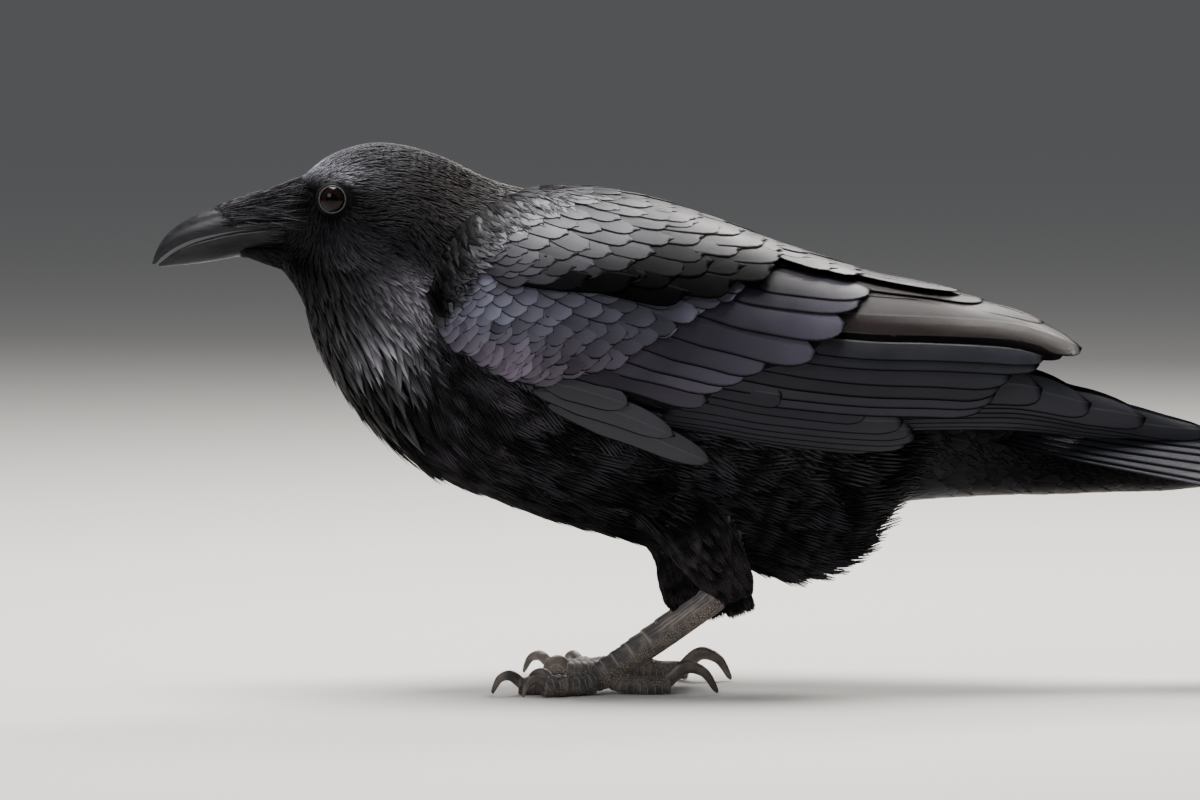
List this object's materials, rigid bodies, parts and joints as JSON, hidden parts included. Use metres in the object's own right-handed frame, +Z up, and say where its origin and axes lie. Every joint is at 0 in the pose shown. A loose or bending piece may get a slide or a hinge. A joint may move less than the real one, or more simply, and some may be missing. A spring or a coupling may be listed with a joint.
{
  "type": "raven",
  "caption": "Life-size standing raven, bill slightly lowered and parted, wings folded over a closed wedge tail, both feet flat on the floor.",
  "frame": {"origin": "on the floor, under the middle of the bird's bounding box", "axes": "+X towards the tail, so the bird faces -X; +Y towards its right side; +Z up"},
  "size_m": [0.5574, 0.1356, 0.2352],
  "materials": {
    "body_feathers": "black soft plumage with a faint blue-grey sheen",
    "face_feathers": "black bristle feathers",
    "flight_feathers": "black glossy vanes with a slate and mauve sheen",
    "bill": "polished black horn, greyer along the ridge",
    "claw": "satin grey-black horn",
    "leg_skin": "matt black scales with dusty grey edges",
    "eye": "wet dark brown, nearly black"
  },
  "bodies": {
    "root": {"bill_lower": "bill", "bill_upper": "bill", "chin_feathers": "face_feathers", "claw_left_hind": "claw", "claw_left_inner": "claw", "claw_left_middle": "claw", "claw_left_outer": "claw", "claw_right_hind": "claw", "claw_right_inner": "claw", "claw_right_middle": "claw", "claw_right_outer": "claw", "eye_left": "eye", "eye_right": "eye", "head": "body_feathers", "nasal_bristles": "face_feathers", "neck": "body_feathers", "shin_left": "body_feathers", "shin_right": "body_feathers", "tail": "flight_feathers", "tail_coverts": "body_feathers", "tarsus_left": "leg_skin", "tarsus_right": "leg_skin", "toe_left_hind": "leg_skin", "toe_left_inner": "leg_skin", "toe_left_middle": "leg_skin", "toe_left_outer": "leg_skin", "toe_right_hind": "leg_skin", "toe_right_inner": "leg_skin", "toe_right_middle": "leg_skin", "toe_right_outer": "leg_skin", "trunk": "body_feathers", "wing_left_alula": "flight_feathers", "wing_left_primaries": "flight_feathers", "wing_left_secondaries": "flight_feathers", "wing_left_shoulder": "flight_feathers", "wing_left_tertials": "flight_feathers", "wing_right_alula": "flight_feathers", "wing_right_primaries": "flight_feathers", "wing_right_secondaries": "flight_feathers", "wing_right_shoulder": "flight_feathers", "wing_right_tertials": "flight_feathers"}
  },
  "joints": []
}
